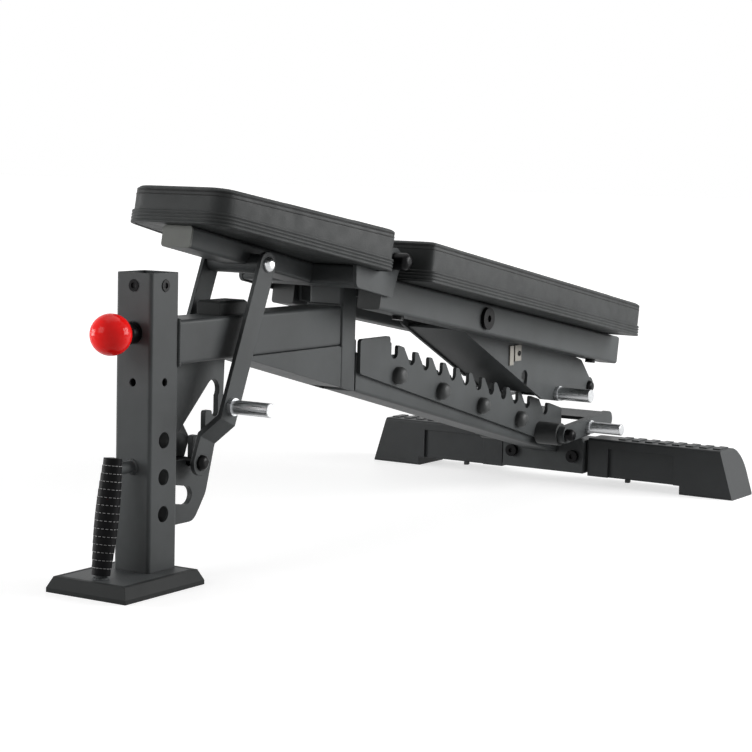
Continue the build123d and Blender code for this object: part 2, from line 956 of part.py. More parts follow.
def through_bolt(x, z, radius, head_r, head, reach):
    """Bolt across the bench with a domed head at each end."""
    cap = dome(x, z, head_r, -reach - head, -reach)
    return rod(x, z, radius, -reach, reach) + cap + mirror(cap, about=Plane.XZ)


def strut_peg():
    x, z = strut_point(peg_at)
    return peg(x, z, peg_r, peg_ring_r, strap_outer, peg_length)


def back_rail():
    """Left rail of the backrest."""
    body = square_tube(
        (0, rail_length), (-rail_outer, -rail_inner), (0, rail_height), 0
    )
    middle = -(rail_outer + rail_inner) / 2
    for along in pad_bolt_at:
        body -= Pos(along, middle, rail_height / 2) * Cylinder(pad_bolt_r + fit, rail_height)
    body = back_place * body
    return body - rod(prop_x, prop_z, prop_bolt_r + fit, -tube * 2, 0)


def rail_caps():
    caps = []
    for low, high in ((-end_cap, 0), (rail_length, rail_length + end_cap)):
        body = block((low, high), (-rail_outer, -rail_inner), (0, rail_height))
        caps += both_sides(fillet(body.edges().filter_by(Axis.X), tube_corner))
    return [back_place * cap for cap in caps]


def back_ear():
    """Left hinge plate on the inner face of the rail."""
    reach = back_ear_reach
    points = [
        (rail_x + ear * 2, rail_z + ear),
        (rail_x + reach, rail_z - ear),
        (rail_x + reach, rail_z + back_ear_rise, plate_corner),
        (rail_x + back_start, rail_z + back_ear_neck),
        (hinge_x + ear_boss_r - ear_shoulder, hinge_z),
        (hinge_x - ear_boss_r + edge_break, hinge_z + ear),
    ]
    body = plate(points, -rail_inner, -rail_inner + ear)
    body += rod(hinge_x, hinge_z, ear_boss_r, -rail_inner, -rail_inner + ear)
    return body - rod(hinge_x, hinge_z, axle_r + fit, -tube * 2, 0)


def back_cross_tubes():
    return [
        back_place
        * block(
            (along, along + cross_depth),
            (-rail_inner, rail_inner),
            (rail_height - back_cross_height, rail_height),
        )
        for along in back_cross_at
    ]


def bolted_board(shape, base, holes):
    """Plywood board of a pad, with blind holes for its bolts."""
    body = extrude(Pos(0, 0, base) * shape(board_inset), amount=board)
    for x, y in holes:
        body -= Pos(x, y, base + pad_bolt_bite / 2) * Cylinder(pad_bolt_r + fit, pad_bolt_bite)
    return body


pad_bolt_y = (rail_outer + rail_inner) / 2
pad_bolt_places = [(along, side * pad_bolt_y) for along in pad_bolt_at for side in (-1, 1)]


def pad_bolts():
    bolts = []
    length = rail_height + pad_bolt_bite
    for x, y in pad_bolt_places:
        head = Pos(x, y, -pad_bolt_head / 2) * Cylinder(pad_bolt_head_r, pad_bolt_head)
        shank = Pos(x, y, length / 2) * Cylinder(pad_bolt_r, length)
        bolts.append(back_place * (head + shank))
    return bolts


def prop_plate():
    """Left side plate of the prop."""
    points = [
        (prop_x - prop_front_x, prop_z - prop_front_z),
        (prop_low[0], prop_low[1], plate_corner),
        (prop_low_rear[0], prop_low_rear[1], prop_low_r),
        (prop_end_x, prop_end_z - prop_end_r),
        (prop_end_x + prop_end_r, prop_end_z),
        (prop_end_x - prop_back_x, prop_end_z + prop_back_z, prop_back_r),
        (prop_x + prop_top_x, prop_z + prop_top_z),
    ]
    body = plate(points, -prop_outer, -prop_inner)
    body += rod(prop_x, prop_z, prop_boss_r, -prop_outer, -prop_inner)
    body += rod(prop_end_x, prop_end_z, prop_end_r, -prop_outer, -prop_inner)
    body -= rod(prop_x, prop_z, prop_bolt_r + fit, -tube, 0)
    body -= rod(prop_rod_x, prop_rod_z, prop_rod_r + fit, -tube, 0)
    body -= rod(prop_end_x, prop_end_z, bolt_r + fit, -tube, 0)
    top = (prop_low[0] - prop_notch_back, prop_low[1] + prop_notch_up)
    mouth = (top[0] - prop_notch_lean, top[1] - prop_notch_depth)
    return body - link(top, mouth, prop_notch_r, -tube, 0)


def prop_web():
    """Front web between the side plates of the prop, along their front edge."""
    root = (prop_x - prop_front_x, prop_z - prop_front_z)
    run = (prop_low[0] - root[0], prop_low[1] - root[1])
    length = math.hypot(*run)
    across = (-run[1] / length, run[0] / length)
    points = []
    ends = [(share, lift) for lift in (0, prop) for share in prop_web_span]
    for share, lift in (ends[0], ends[1], ends[3], ends[2]):
        height = prop_web_lift + lift
        x = root[0] + run[0] * share + across[0] * height
        z = root[1] + run[1] * share + across[1] * height
        points.append((x, z))
    return plate(points, -prop_inner, prop_inner)


def prop_pivot_bolt():
    """Left pivot bolt of the prop, through the rail."""
    head = rod(prop_x, prop_z, prop_bolt_head_r, -rail_outer - prop_bolt_head, -rail_outer)
    key_end = -rail_outer - prop_bolt_head + key_depth
    key = rod(prop_x, prop_z, prop_bolt_r * key_share, -rail_outer - prop_bolt_head, key_end)
    shank = rod(prop_x, prop_z, prop_bolt_r, -rail_outer, -prop_inner)
    nut = rod(prop_x, prop_z, prop_nut_r, -prop_inner, -prop_inner + bolt_head)
    return head - key + shank + nut


def prop_rod():
    """Handle rod across the prop, with a peg at each end."""
    bar = rod(prop_rod_x, prop_rod_z, prop_rod_r, -prop_outer, prop_outer)
    end = peg(prop_rod_x, prop_rod_z, prop_peg_r, prop_collar_r, prop_outer, prop_peg_length)
    return bar + end + mirror(end, about=Plane.XZ)


def prop_end_bolt():
    head = dome(prop_end_x, prop_end_z, bolt_head_r, -prop_outer - bolt_head, -prop_outer)
    shank = rod(prop_end_x, prop_end_z, bolt_r, -prop_outer, -prop_inner)
    nut = rod(prop_end_x, prop_end_z, bolt_head_r, -prop_inner, -prop_inner + bolt_head)
    return head + shank + nut


pedal_end = (pedal_x + pedal_reach, pedal_z + pedal_rise)


def pedal_point(along):
    """Point on the pedal arm's centre line, counted from its pivot."""
    share = along / math.hypot(pedal_end[0] - pedal_x, pedal_end[1] - pedal_z)
    return (
        pedal_x + (pedal_end[0] - pedal_x) * share,
        pedal_z + (pedal_end[1] - pedal_z) * share,
    )


def pedal_bush():
    body = rod(pedal_x, pedal_z, pedal_bush_r, -pedal_bush_end, -rack_outer)
    return body - rod(pedal_x, pedal_z, pedal_bolt_r + fit, -pedal_bush_end, -rack_outer)


def pedal_arm_plate():
    """Left arm of the pedal."""
    body = link((pedal_x, pedal_z), pedal_end, pedal_arm_r, -pedal_arm_outer, -pedal_arm_inner)
    return body - rod(pedal_x, pedal_z, pedal_bolt_r + fit, -tube * 2, 0)


def pedal_deck():
    """Plate between the pedal's arms, over the rear cross tube."""
    start = pedal_point(pedal_reach - pedal_plate_length)
    fall = (pedal_end[1] - pedal_z) / (pedal_end[0] - pedal_x)
    low = pedal_deck_lift
    points = [
        (start[0], start[1] + low),
        (pedal_end[0], start[1] + low + fall * (pedal_end[0] - start[0])),
        (pedal_end[0], start[1] + low + pedal_plate + fall * (pedal_end[0] - start[0])),
        (start[0], start[1] + low + pedal_plate),
    ]
    return plate(points, -pedal_arm_inner, pedal_arm_inner)


def pedal_bolt():
    outer = -pedal_arm_outer - side_gap
    head = dome(pedal_x, pedal_z, bolt_head_r, outer - rack_cap_length, outer)
    return head + rod(pedal_x, pedal_z, pedal_bolt_r, outer, -rack_outer)


def pedal_peg():
    x, z = pedal_point(pedal_peg_at)
    return peg(x, z, peg_r, peg_ring_r, pedal_arm_outer, peg_length)


def save(name, solids):
    """Write one node, moved to the middle of the footprint."""
    pieces = solids if isinstance(solids, list) else [solids]
    moved = [Pos(-middle_x, 0, 0) * piece for piece in pieces]
    export_step(moved[0] if len(moved) == 1 else Compound(children=moved), f"parts/{name}.step")


def save_pair(name, solid):
    """Write a left piece and its mirror image as two nodes."""
    left, right = both_sides(solid)
    save(f"{name}_left", left)
    save(f"{name}_right", right)


os.makedirs("parts", exist_ok=True)

# Fixed frame
save("front_post", front_post())
save("post_foot", post_foot())
save("post_base_plate", base_plate_box(0))
save("post_set_screws", set_screws())
save("plunger_housing", plunger_housing())
save("carry_handle", carry_handle())
save("carry_grip", carry_grip())
save("top_beam", top_beam())
save("seat_stop_block", seat_stop())
save("tower", tower())
save("front_gusset", front_gusset())
save("slope_beam", slope_beam())
save("seat_ladder", seat_ladder())
save_pair("rack", rack_plate())
save("rack_bolts", rack_bolts())
save("end_plate", end_plate())
save("end_plate_packer", end_plate_packer())
save("end_plate_bolts", end_plate_bolts())
save("rear_cross_tube", rear_cross_tube())
save_pair("rear_shoe", rear_shoe())
save("pedal_bushes", both_sides(pedal_bush()))
save("pedal_pivot_bolts", both_sides(pedal_bolt()))
save("hinge_axle", hinge_axle())
save("hinge_sleeve", hinge_sleeve())
save("axle_spacers", both_sides(axle_spacer()))
save("axle_caps", both_sides(axle_cap()))

# Plunger
plunger_pin, plunger_knob = plunger()
save("plunger_pin", plunger_pin)
save("plunger_knob", plunger_knob)

# Seat
save("seat_tube", seat_tube())
save("seat_tube_cap", seat_place * seat_tube_cap())
save("seat_cross_tube", seat_place * seat_cross())
save("seat_ears", both_sides(seat_ear()))
save("strut_sleeve", strut_sleeve())
save("seat_board", seat_place * bolted_board(seat_pad_outline, 0, []))
save(
    "seat_cushion",
    seat_place
    * cushion(seat_pad_outline, 0, 0, seat_length, seat_front_thick, seat_rear_thick),
)

# Seat strut
save_pair("strut_strap", strut_strap())
save("strut_pivot_bolt", through_bolt(strut_x, strut_z, bolt_r, bolt_head_r, bolt_head, strap_outer))
save(
    "strut_cross_pin",
    through_bolt(strut_pin_x, strut_pin_z, bolt_r, bolt_head_r, bolt_head, strap_low_outer),
)
save("strut_pegs", both_sides(strut_peg()))

# Backrest
save_pair("back_rail", back_rail())
save("rail_end_caps", rail_caps())
save("back_ears", both_sides(back_ear()))
save("back_cross_tubes", back_cross_tubes())
save("back_board", back_place * bolted_board(back_pad_outline, rail_height, pad_bolt_places))
save(
    "back_cushion",
    back_place
    * cushion(
        back_pad_outline, rail_height, back_start, back_length, back_front_thick, back_rear_thick
    ),
)
save("pad_bolts", pad_bolts())

# Prop
save_pair("prop_plate", prop_plate())
save("prop_web", prop_web())
save("prop_pivot_bolts", both_sides(prop_pivot_bolt()))
save("prop_handle_rod", prop_rod())
save("prop_end_bolts", both_sides(prop_end_bolt()))

# Pedal
save_pair("pedal_arm", pedal_arm_plate())
save("pedal_deck", pedal_deck())
save("pedal_pegs", both_sides(pedal_peg()))
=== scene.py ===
import json
import math

import bmesh
import bpy
from mathutils import Matrix, Vector
from mathutils.bvhtree import BVHTree


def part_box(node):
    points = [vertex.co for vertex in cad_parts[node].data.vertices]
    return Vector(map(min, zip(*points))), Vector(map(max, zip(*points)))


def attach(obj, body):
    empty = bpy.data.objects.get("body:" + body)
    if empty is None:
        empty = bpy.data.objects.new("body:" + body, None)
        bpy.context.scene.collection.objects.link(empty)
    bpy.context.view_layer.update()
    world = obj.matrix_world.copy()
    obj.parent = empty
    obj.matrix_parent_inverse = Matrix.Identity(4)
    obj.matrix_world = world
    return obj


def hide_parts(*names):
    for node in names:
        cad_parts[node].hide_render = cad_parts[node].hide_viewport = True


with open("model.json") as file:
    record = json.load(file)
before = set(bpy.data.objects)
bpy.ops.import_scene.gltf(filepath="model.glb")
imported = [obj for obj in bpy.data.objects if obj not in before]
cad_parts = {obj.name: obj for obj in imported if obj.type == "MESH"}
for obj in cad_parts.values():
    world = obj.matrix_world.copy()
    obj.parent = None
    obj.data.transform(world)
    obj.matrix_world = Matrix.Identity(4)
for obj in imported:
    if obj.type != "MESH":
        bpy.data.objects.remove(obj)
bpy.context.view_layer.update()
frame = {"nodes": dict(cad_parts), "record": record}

# Camera, from the photograph's perspective; lengths in metres, angles in degrees
image_side = 752
focal_pixels = 2048.58
sensor_width = 36.0
camera_place = Vector((-2.72039, -1.70578, 0.58083))
camera_yaw = 31.995
camera_pitch = -6.096
camera_roll = 1.333

# Seat and back pads
pad_edge_r = 0.006
pad_edge_steps = 5
pad_foot_r = pad_edge_r / 4
pad_bottom = 0.0004
pad_shrink = -0.0005
seat_slope = 11.3
seat_corner = Vector((-0.518, 0.0, 0.4854))
seat_length = 0.367
seat_front_half = 0.080
seat_rear_half = 0.130
seat_front_corner_r = 0.030
seat_rear_corner_r = 0.008
seat_thick = (0.052, 0.062)
back_slope = 9.66
back_corner = Vector((-0.139, 0.0, 0.3547))
back_start = 0.047
back_length = 0.755
back_half = 0.150
back_corner_r = 0.008
back_thick = (0.062, 0.059)
least_corner_r = 0.002
rail_height = 0.050

# Pad simulation; the sewn top edge is where the normal's upward part lies in edge_lean
voxel = 0.0040
sim_frames = 20
sim_pressure = 3.0
swell_cap = 0.003
swell_passes = 10
smooth_passes = 2
pinned_height = 0.004
edge_lean = (0.2, 0.95)

# Sewing on the pads: piping and threads as a drop under the top edge, a radius and a material,
# and a grooved band at the foot
# The threads' near-black colour is painted shade for the dark sewn grooves along the pads' top
# edges; the piping is plain vinyl
top_cords = (
    (0.0045, 0.0017, "pad_vinyl"),
    (0.0066, 0.0009, "pad_thread_painted_shade"),
    (0.0115, 0.0009, "pad_thread_painted_shade"),
)
band_foot = 0.0006
band_height = 0.0185
band_proud = 0.0030
band_edge = 0.0008
band_grooves = (0.0050, 0.0100, 0.0145)
band_groove_half = 0.0010
band_groove_depth = 0.0024
cord_sink = 0.35
seam_step = 0.006
seam_reach = 0.03

# Knurled hand pegs
peg_length = 0.066
peg_r = 0.010
peg_collar_r = 0.0125
prop_peg_length = 0.068
prop_peg_r = 0.0115
prop_collar_r = 0.013
prop_rod_r = 0.008
peg_collar = 0.006
peg_chamfer = 0.001
knurl_depth = 0.0003
knurl_pitch = 0.0028
knurl_step = 0.0007
knurl_turns = 24
knurl_width = 0.7
peg_segments = 120
sharp_angle = 40.0

# Nubs in the grooves of the carrying grip, which runs between two places on its axis; the nubs are
# pale grey as painted highlights for the glints in the grooves
grip_start_place = Vector((-0.661, 0.0, 0.0259))
grip_end_place = Vector((-0.6384, 0.0, 0.1800))
grip_rings = 15
grip_end_r = 0.012
grip_middle_r = 0.016
grip_groove = 0.0012
grip_nubs = 16
grip_nub_sink = 0.0004
grip_nub_height = 0.0008
grip_nub_length = 0.0036
grip_nub_width = 0.0008

# Clip on the prop: blades as start and end along X, drop and stand-out; shoe tabs
handle_arm_z = 0.163
clip_top = 0.267
clip_blades = ((0.344, 0.357, 0.034, 0.003), (0.362, 0.384, 0.028, 0.003))
clip_edge = 0.0006
clip_screw = (0.376, 0.252)
screw_r = 0.0045
screw_height = 0.006
screw_rim = 0.0042
tab_y = 0.166
tab_z = 0.0165
tab_half = 0.004
tab_drop = 0.006
tab_depth = 0.010
tab_edge = 0.001

# Floor and surroundings
floor_reach = 30.0
floor_near = 1.2
floor_far = 3.5
floor_glow = 0.66
floor_tone = 0.50
floor_rough = 0.6
floor_shine = 0.1
world_fill = 0.10

# Soft lamps: name, place, aim, size and power in watts
lamps = (
    ("side", (1.2, -1.8, 0.9), (0.4, 0.0, 0.25), (1.6, 1.2), 58.0),
    ("top", (0.1, 0.2, 3.2), (0.0, 0.0, 0.3), (3.0, 2.0), 24.0),
    ("front", (-2.6, 0.7, 1.3), (-0.4, 0.0, 0.5), (1.2, 1.2), 20.0),
    ("left", (-1.3, 2.2, 0.5), (0.6, 0.3, 0.1), (1.4, 0.8), 32.0),
)

# Weld beads
bead_r = 0.0028
bead_ripple = 0.0006
bead_pitch = 0.0035
bead_step = 0.0012

# Painted and moulded surfaces
patch_detail = 6.0
grain_detail = 2.0
grain_strength = 0.6
polish_spread = 0.06
edge_samples = 6

# Brushed and plated metal: stretch of the marks, and what they do to tone and polish
brush_stretch = (1.0, 0.08, 1.0)
brush_detail = 3.0
brush_tones = (0.82, 1.05)
brush_polish = (0.7, 1.3)

# Grained upholstery
pebble_scale = 620.0
pebble_edge = (0.0, 0.22)
pebble_strength = 0.35
pebble_height = 0.00025
crease_scale = 55.0
crease_detail = 8.0
crease_strength = 0.25
crease_height = 0.0012
vinyl_patch = 7.0
vinyl_patch_detail = 5.0
vinyl_tones = (0.8, 1.25)
vinyl_polish = (0.42, 0.56)
vinyl_shine = 0.17

# Wood grain
wood_stretch = (0.6, 9.0, 9.0)
wood_scale = 14.0
wood_detail = 7.0
wood_tones = (0.7, 1.2)
wood_strength = 0.3
wood_height = 0.0004
wood_rough = 0.75


def link_nodes(tree, source, output, target, entry):
    tree.links.new(source.outputs[output], target.inputs[entry])


def new_material(name):
    """Material with its shader, and its texture coordinates in the object's own metres."""
    made = bpy.data.materials.new(name)
    made.use_nodes = True
    tree = made.node_tree
    shader = tree.nodes["Principled BSDF"]
    place = tree.nodes.new("ShaderNodeTexCoord")
    return made, tree, shader, place


def noise(tree, place, scale, detail=4.0, roughness=0.55):
    node = tree.nodes.new("ShaderNodeTexNoise")
    node.inputs["Scale"].default_value = scale
    node.inputs["Detail"].default_value = detail
    node.inputs["Roughness"].default_value = roughness
    link_nodes(tree, place, "Object", node, "Vector")
    return node


def stretched_noise(tree, place, stretch, scale, detail):
    """Noise drawn out along one direction of the object."""
    mapping = tree.nodes.new("ShaderNodeMapping")
    mapping.inputs["Scale"].default_value = stretch
    link_nodes(tree, place, "Object", mapping, "Vector")
    node = tree.nodes.new("ShaderNodeTexNoise")
    node.inputs["Scale"].default_value = scale
    node.inputs["Detail"].default_value = detail
    link_nodes(tree, mapping, "Vector", node, "Vector")
    return node


def ramp(tree, source, output, low, high, span=(0.3, 0.7)):
    """Colour or grey between two values as a texture goes across a span."""
    node = tree.nodes.new("ShaderNodeValToRGB")
    node.color_ramp.elements[0].position = span[0]
    node.color_ramp.elements[1].position = span[1]
    node.color_ramp.elements[0].color = low
    node.color_ramp.elements[1].color = high
    link_nodes(tree, source, output, node, "Fac")
    return node


def tint(colour, factor):
    return tuple(min(1.0, value * factor) for value in colour) + (1.0,)


def grey(value):
    return (value, value, value, 1.0)


def bump(tree, source, output, strength, distance, before=None):
    node = tree.nodes.new("ShaderNodeBump")
    node.inputs["Strength"].default_value = strength
    node.inputs["Distance"].default_value = distance
    link_nodes(tree, source, output, node, "Height")
    if before:
        link_nodes(tree, before, "Normal", node, "Normal")
    return node


def coated(name, colour, rough, grain, grain_height, spread=0.25, patch=9.0, edge=0.0, shine=0.25):
    """Painted or moulded surface: soft patches of tone and polish, fine grain, eased edges."""
    made, tree, shader, place = new_material(name)
    broad = noise(tree, place, patch, detail=patch_detail)
    fine = noise(tree, place, grain, detail=grain_detail)
    tone = ramp(tree, broad, "Fac", tint(colour, 1 - spread), tint(colour, 1 + spread))
    polish = ramp(tree, broad, "Fac", grey(rough - polish_spread), grey(rough + polish_spread))
    eased = None
    if edge:
        eased = tree.nodes.new("ShaderNodeBevel")
        eased.samples = edge_samples
        eased.inputs["Radius"].default_value = edge
    relief = bump(tree, fine, "Fac", grain_strength, grain_height, before=eased)
    link_nodes(tree, tone, "Color", shader, "Base Color")
    link_nodes(tree, polish, "Color", shader, "Roughness")
    link_nodes(tree, relief, "Normal", shader, "Normal")
    shader.inputs["Specular IOR Level"].default_value = shine
    return made


def metal(name, colour, rough, brushed):
    """Bare or plated metal with fine marks along one turning direction."""
    made, tree, shader, place = new_material(name)
    marks = stretched_noise(tree, place, brush_stretch, brushed, brush_detail)
    low, high = brush_tones
    tone = ramp(tree, marks, "Fac", tint(colour, low), tint(colour, high))
    low, high = brush_polish
    polish = ramp(tree, marks, "Fac", grey(rough * low), grey(rough * high))
    link_nodes(tree, tone, "Color", shader, "Base Color")
    link_nodes(tree, polish, "Color", shader, "Roughness")
    shader.inputs["Metallic"].default_value = 1.0
    return made


def vinyl(name, colour):
    """Grained upholstery: pebbled cells, faint creases and a broad change of polish."""
    made, tree, shader, place = new_material(name)
    cells = tree.nodes.new("ShaderNodeTexVoronoi")
    cells.feature = "DISTANCE_TO_EDGE"
    cells.inputs["Scale"].default_value = pebble_scale
    link_nodes(tree, place, "Object", cells, "Vector")
    creases = noise(tree, place, crease_scale, detail=crease_detail)
    broad = noise(tree, place, vinyl_patch, detail=vinyl_patch_detail)
    low, high = vinyl_tones
    tone = ramp(tree, broad, "Fac", tint(colour, low), tint(colour, high))
    low, high = vinyl_polish
    polish = ramp(tree, creases, "Fac", grey(low), grey(high))
    pebble = ramp(tree, cells, "Distance", grey(0.0), grey(1.0), span=pebble_edge)
    relief = bump(tree, pebble, "Color", pebble_strength, pebble_height)
    relief = bump(tree, creases, "Fac", crease_strength, crease_height, before=relief)
    link_nodes(tree, tone, "Color", shader, "Base Color")
    link_nodes(tree, polish, "Color", shader, "Roughness")
    link_nodes(tree, relief, "Normal", shader, "Normal")
    shader.inputs["Specular IOR Level"].default_value = vinyl_shine
    return made


def plywood(name, colour):
    """Wood with its grain drawn out along X."""
    made, tree, shader, place = new_material(name)
    rings = stretched_noise(tree, place, wood_stretch, wood_scale, wood_detail)
    low, high = wood_tones
    tone = ramp(tree, rings, "Fac", tint(colour, low), tint(colour, high))
    relief = bump(tree, rings, "Fac", wood_strength, wood_height)
    link_nodes(tree, tone, "Color", shader, "Base Color")
    link_nodes(tree, relief, "Normal", shader, "Normal")
    shader.inputs["Roughness"].default_value = wood_rough
    return made


materials = {
    "frame_paint": coated(
        "frame_paint", (0.057, 0.061, 0.062), 0.48, 900.0, 0.00025, edge=0.0014, shine=0.16
    ),
    "black_steel": coated(
        "black_steel", (0.004, 0.004, 0.0045), 0.30, 500.0, 0.00005, edge=0.0006, shine=0.1
    ),
    "bright_steel": metal("bright_steel", (0.62, 0.63, 0.64), 0.26, 600.0),
    "chrome": metal("chrome", (0.58, 0.59, 0.60), 0.32, 500.0),
    "zinc": metal("zinc", (0.22, 0.21, 0.19), 0.5, 300.0),
    "red_knob": coated(
        "red_knob", (0.97, 0.010, 0.009), 0.12, 60.0, 0.00003, spread=0.03, shine=0.12
    ),
    "grip_rubber": coated("grip_rubber", (0.005, 0.005, 0.0055), 0.42, 1200.0, 0.0001, shine=0.06),
    # Grip nubs: pale grey, painted highlights for the glints in the grip's grooves
    "grip_painted_glint": coated("grip_painted_glint", (0.30, 0.30, 0.30), 0.6, 1200.0, 0.0001),
    "foot_rubber": coated(
        "foot_rubber", (0.018, 0.0195, 0.0195), 0.6, 800.0, 0.0002, edge=0.001, shine=0.12
    ),
    "shoe_plastic": coated(
        "shoe_plastic", (0.024, 0.026, 0.027), 0.44, 1100.0, 0.0002, edge=0.0012, shine=0.2
    ),
    "black_plastic": coated("black_plastic", (0.045, 0.047, 0.047), 0.5, 900.0, 0.0001, edge=0.001),
    # Paler plastic for the seat tube cap, partly its own colour and partly painted light for the
    # light falling on its front
    "pale_plastic_painted_light": coated("pale_plastic_painted_light", (0.13, 0.135, 0.125), 0.55, 900.0, 0.0001, edge=0.001),
    "plywood": plywood("plywood", (0.42, 0.29, 0.17)),
    "pad_vinyl": vinyl("pad_vinyl", (0.026, 0.028, 0.028)),
    # Thread: a near-black copy of the vinyl, its darkness painted shade for the shadowed sewn
    # grooves
    "pad_thread_painted_shade": vinyl("pad_thread_painted_shade", (0.008, 0.008, 0.008)),
}


# Solids that look different from the rest of their slot; the seat tube cap's paler grey is partly
# its own plastic, partly painted light for the front light on its end
own_looks = {"seat_tube_cap": "pale_plastic_painted_light"}


def paint_frame():
    """Gives every solid the material of its slot, or its own."""
    for entry in frame["record"]["subparts"]:
        solid = frame["nodes"][entry["node"]]
        look = own_looks.get(entry["node"], entry["material_slot"])
        solid.data.materials.clear()
        solid.data.materials.append(materials[look])


def new_piece(name, mesh, material, body):
    """Object that rides on a body, with a material."""
    piece = bpy.data.objects.new(name, mesh)
    bpy.context.scene.collection.objects.link(piece)
    piece.data.materials.append(materials[material])
    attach(piece, body)
    return piece


def mesh_from(name, vertices, faces, smooth=True):
    mesh = bpy.data.meshes.new(name)
    mesh.from_pydata(vertices, [], faces)
    mesh.update()
    for polygon in mesh.polygons:
        polygon.use_smooth = smooth
    return mesh


def rounded(corners, radii, steps=8):
    """Closed outline with its corners rounded, as points in plan."""
    points = []
    count = len(corners)
    for index in range(count):
        here = Vector(corners[index])
        before = (Vector(corners[index - 1]) - here).normalized()
        after = (Vector(corners[(index + 1) % count]) - here).normalized()
        half = before.angle(after) / 2
        reach = radii[index] / math.tan(half)
        middle = here + (before + after).normalized() * (radii[index] / math.sin(half))
        start = here + before * reach - middle
        end = here + after * reach - middle
        sweep = start.angle_signed(end)
        for step in range(steps + 1):
            turn = Matrix.Rotation(-sweep * step / steps, 2)
            points.append(middle + turn @ start)
    return points


def seat_plan(inset):
    front = seat_front_half - inset
    rear = seat_rear_half - inset
    far = seat_length - inset
    corners = [(inset, -front), (far, -rear), (far, rear), (inset, front)]
    front_r = max(seat_front_corner_r - inset, least_corner_r)
    rear_r = max(seat_rear_corner_r - inset, least_corner_r)
    return rounded(corners, (front_r, rear_r, rear_r, front_r))


def back_plan(inset):
    low = back_start + inset
    high = back_start + back_length - inset
    half = back_half - inset
    corners = [(low, -half), (high, -half), (high, half), (low, half)]
    return rounded(corners, (max(back_corner_r - inset, least_corner_r),) * 4)


def top_line(start, length, thick):
    """Height of a pad's top over its underside at a place along the pad."""
    front, rear = thick
    return lambda x: front + (rear - front) * (x - start) / length


def pad_profile():
    """Rings of a pad: inset from the plan outline, share of the pad's height, and height added."""
    rings = [(pad_shrink + pad_foot_r, 0, pad_bottom), (pad_shrink, 0, pad_bottom + pad_foot_r)]
    for step in range(pad_edge_steps + 1):
        turn = math.radians(90 * step / pad_edge_steps)
        inset = pad_shrink + pad_edge_r * (1 - math.cos(turn))
        rings.append((inset, 1, -pad_shrink - pad_edge_r * (1 - math.sin(turn))))
    return rings


def pad_mesh(name, plan, top):
    """Closed pad in the plane of its own underside."""
    vertices = []
    faces = []
    rings = pad_profile()
    for inset, share, height in rings:
        vertices += [(point.x, point.y, share * top(point.x) + height) for point in plan(inset)]
    count = len(vertices) // len(rings)
    for ring in range(len(rings) - 1):
        for index in range(count):
            following = (index + 1) % count
            low = ring * count
            high = low + count
            faces.append((low + index, low + following, high + following, high + index))
    faces.append(tuple(reversed(range(count))))
    faces.append(tuple(range((len(rings) - 1) * count, len(rings) * count)))
    return mesh_from(name, vertices, faces)


def evened(mesh, shifts):
    """Shifts of a mesh's points, each averaged with its neighbours' a few times."""
    near = [[] for _ in shifts]
    for edge in mesh.edges:
        first, second = edge.vertices
        near[first].append(second)
        near[second].append(first)
    for _ in range(swell_passes):
        shifts = [
            sum((shifts[other] for other in others), shift) / (len(others) + 1)
            for shift, others in zip(shifts, near)
        ]
    return shifts


def swell(piece):
    """Voxel remesh and a short pressure simulation, with underside and sewn top edge held."""
    scene = bpy.context.scene
    bpy.context.view_layer.objects.active = piece
    remesh = piece.modifiers.new("even", "REMESH")
    remesh.mode = "VOXEL"
    remesh.voxel_size = voxel
    bpy.ops.object.modifier_apply(modifier=remesh.name)
    held = piece.vertex_groups.new(name="held")
    low, high = edge_lean
    fixed = [
        v.index
        for v in piece.data.vertices
        if v.co.z < pinned_height or low < v.normal.z < high
    ]
    held.add(fixed, 1.0, "REPLACE")
    cloth = piece.modifiers.new("foam", "CLOTH")
    cloth.settings.vertex_group_mass = held.name
    cloth.settings.use_pressure = True
    cloth.settings.uniform_pressure_force = sim_pressure
    cloth.settings.effector_weights.gravity = 0.0
    cloth.point_cache.frame_start = 1
    cloth.point_cache.frame_end = sim_frames
    for step in range(1, sim_frames + 1):
        scene.frame_set(step)
    graph = bpy.context.evaluated_depsgraph_get()
    moved = piece.evaluated_get(graph).data.vertices
    shifts = [target.co - v.co for v, target in zip(piece.data.vertices, moved)]
    shifts = [shift * min(1.0, swell_cap / max(shift.length, swell_cap)) for shift in shifts]
    for vertex, shift in zip(piece.data.vertices, evened(piece.data, shifts)):
        vertex.co += shift
    piece.modifiers.remove(cloth)
    piece.vertex_groups.clear()
    scene.frame_set(1)
    smooth = piece.modifiers.new("smooth", "CORRECTIVE_SMOOTH")
    smooth.iterations = smooth_passes
    smooth.use_only_smooth = True
    bpy.ops.object.modifier_apply(modifier=smooth.name)
    finer = piece.modifiers.new("finer", "SUBSURF")
    finer.levels = 1
    finer.render_levels = 1
    for polygon in piece.data.polygons:
        polygon.use_smooth = True


def even_loop(points, step):
    """The same closed outline with points at an even spacing."""
    closed = list(points) + [points[0]]
    lengths = [(b - a).length for a, b in zip(closed, closed[1:])]
    total = sum(lengths)
    count = max(8, round(total / step))
    result = []
    index = 0
    passed = 0.0
    for number in range(count):
        target = total * number / count
        while passed + lengths[index] < target:
            passed += lengths[index]
            index += 1
        share = (target - passed) / lengths[index]
        result.append(closed[index].lerp(closed[index + 1], share))
    return result


def strip_mesh(name, rows, smooth=True):
    """Closed skin round a loop: each row holds the points of one cross-section."""
    vertices = [point for row in rows for point in row]
    across = len(rows[0])
    count = len(rows)
    faces = []
    for index in range(count):
        low = index * across
        high = (index + 1) % count * across
        for side in range(across):
            other = (side + 1) % across
            faces.append((low + side, high + side, high + other, low + other))
    return mesh_from(name, vertices, faces, smooth)


